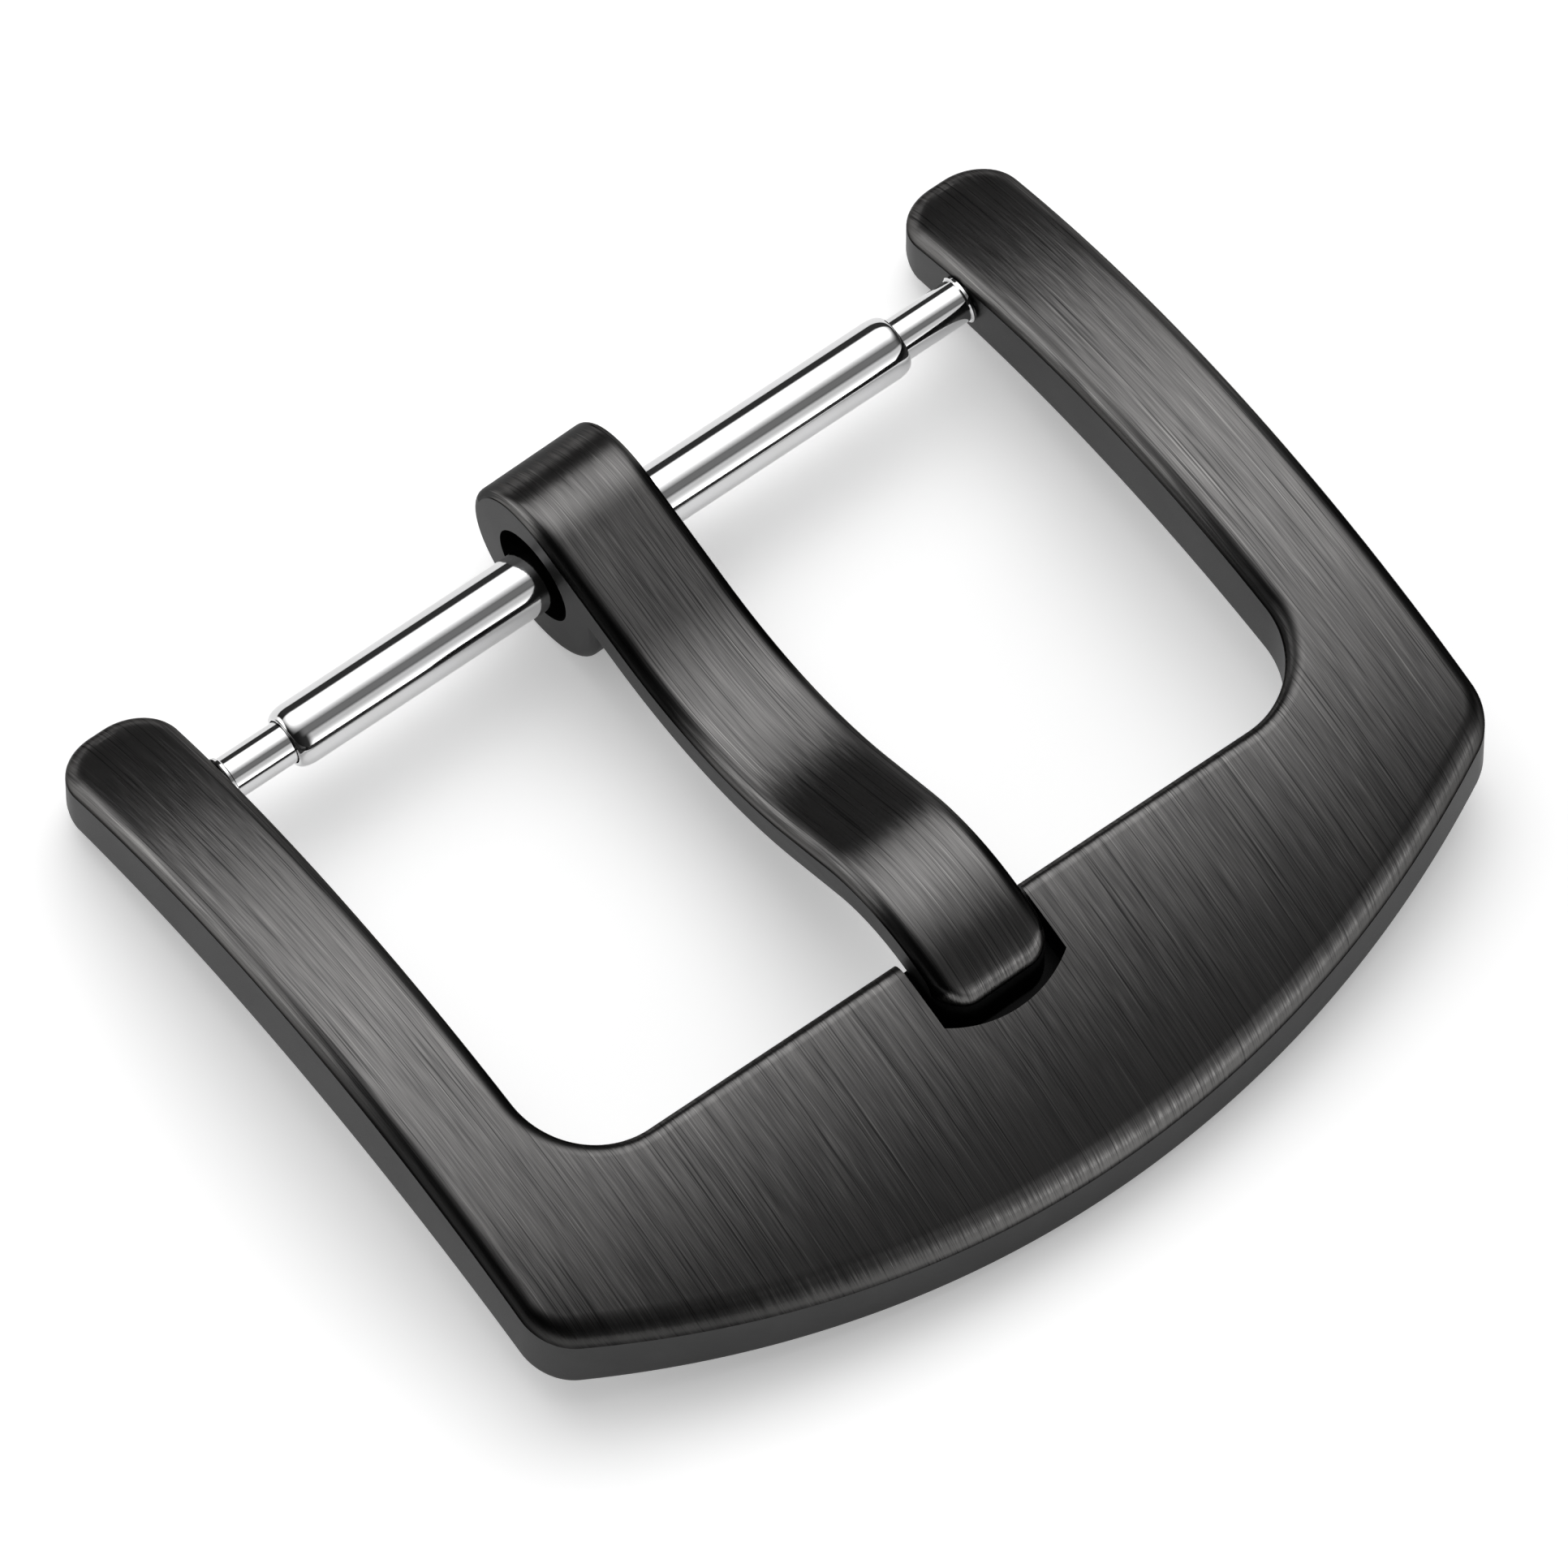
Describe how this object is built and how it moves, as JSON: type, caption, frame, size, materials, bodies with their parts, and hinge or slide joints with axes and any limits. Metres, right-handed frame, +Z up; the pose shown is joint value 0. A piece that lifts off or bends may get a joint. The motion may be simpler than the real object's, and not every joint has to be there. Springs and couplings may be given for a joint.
{
  "type": "watch strap buckle",
  "caption": "Arched tongue buckle for a 20 mm watch strap: black brushed frame with a notched front bar, a bent tongue and a sprung bar between the arms.",
  "frame": {"origin": "middle of the buckle's footprint on the surface it rests on", "axes": "+X along the spring bar, -Y towards the front bar with the tongue's notch, +Z up out of the brushed top face"},
  "size_m": [0.026, 0.0218, 0.0049],
  "materials": {
    "frame_black": "black ion-plated steel, top face brushed along the strap, side walls satin",
    "tongue_black": "black ion-plated steel, top face brushed lengthwise, side walls satin",
    "bar_polished": "polished stainless steel",
    "plunger_polished": "polished stainless steel",
    "spring_steel": "drawn spring wire"
  },
  "bodies": {
    "frame": {"buckle_frame": "frame_black"},
    "tongue": {"tongue": "tongue_black"},
    "spring_bar": {"spring_bar_tube": "bar_polished", "coil_spring": "spring_steel"},
    "plunger_left": {"plunger_left": "plunger_polished"},
    "plunger_right": {"plunger_right": "plunger_polished"}
  },
  "joints": [
    {"name": "tongue_hinge", "type": "hinge", "parent": "frame", "child": "tongue", "pos_m": [0, 0.00804, 0.0022], "axis": [-1, 0, 0], "range_deg": [0, 170]},
    {"name": "spring_bar_spin", "type": "hinge", "parent": "frame", "child": "spring_bar", "pos_m": [0, 0.00804, 0.0022], "axis": [1, 0, 0], "continuous": true},
    {"name": "plunger_left_press", "type": "slide", "parent": "spring_bar", "child": "plunger_left", "axis": [1, 0, 0], "range_m": [0, 0.0012], "stiffness_N_per_m": 900, "springref_m": -0.0005, "deforming": ["coil_spring"]},
    {"name": "plunger_right_press", "type": "slide", "parent": "spring_bar", "child": "plunger_right", "axis": [-1, 0, 0], "range_m": [0, 0.0012], "stiffness_N_per_m": 900, "springref_m": -0.0005, "deforming": ["coil_spring"]}
  ]
}
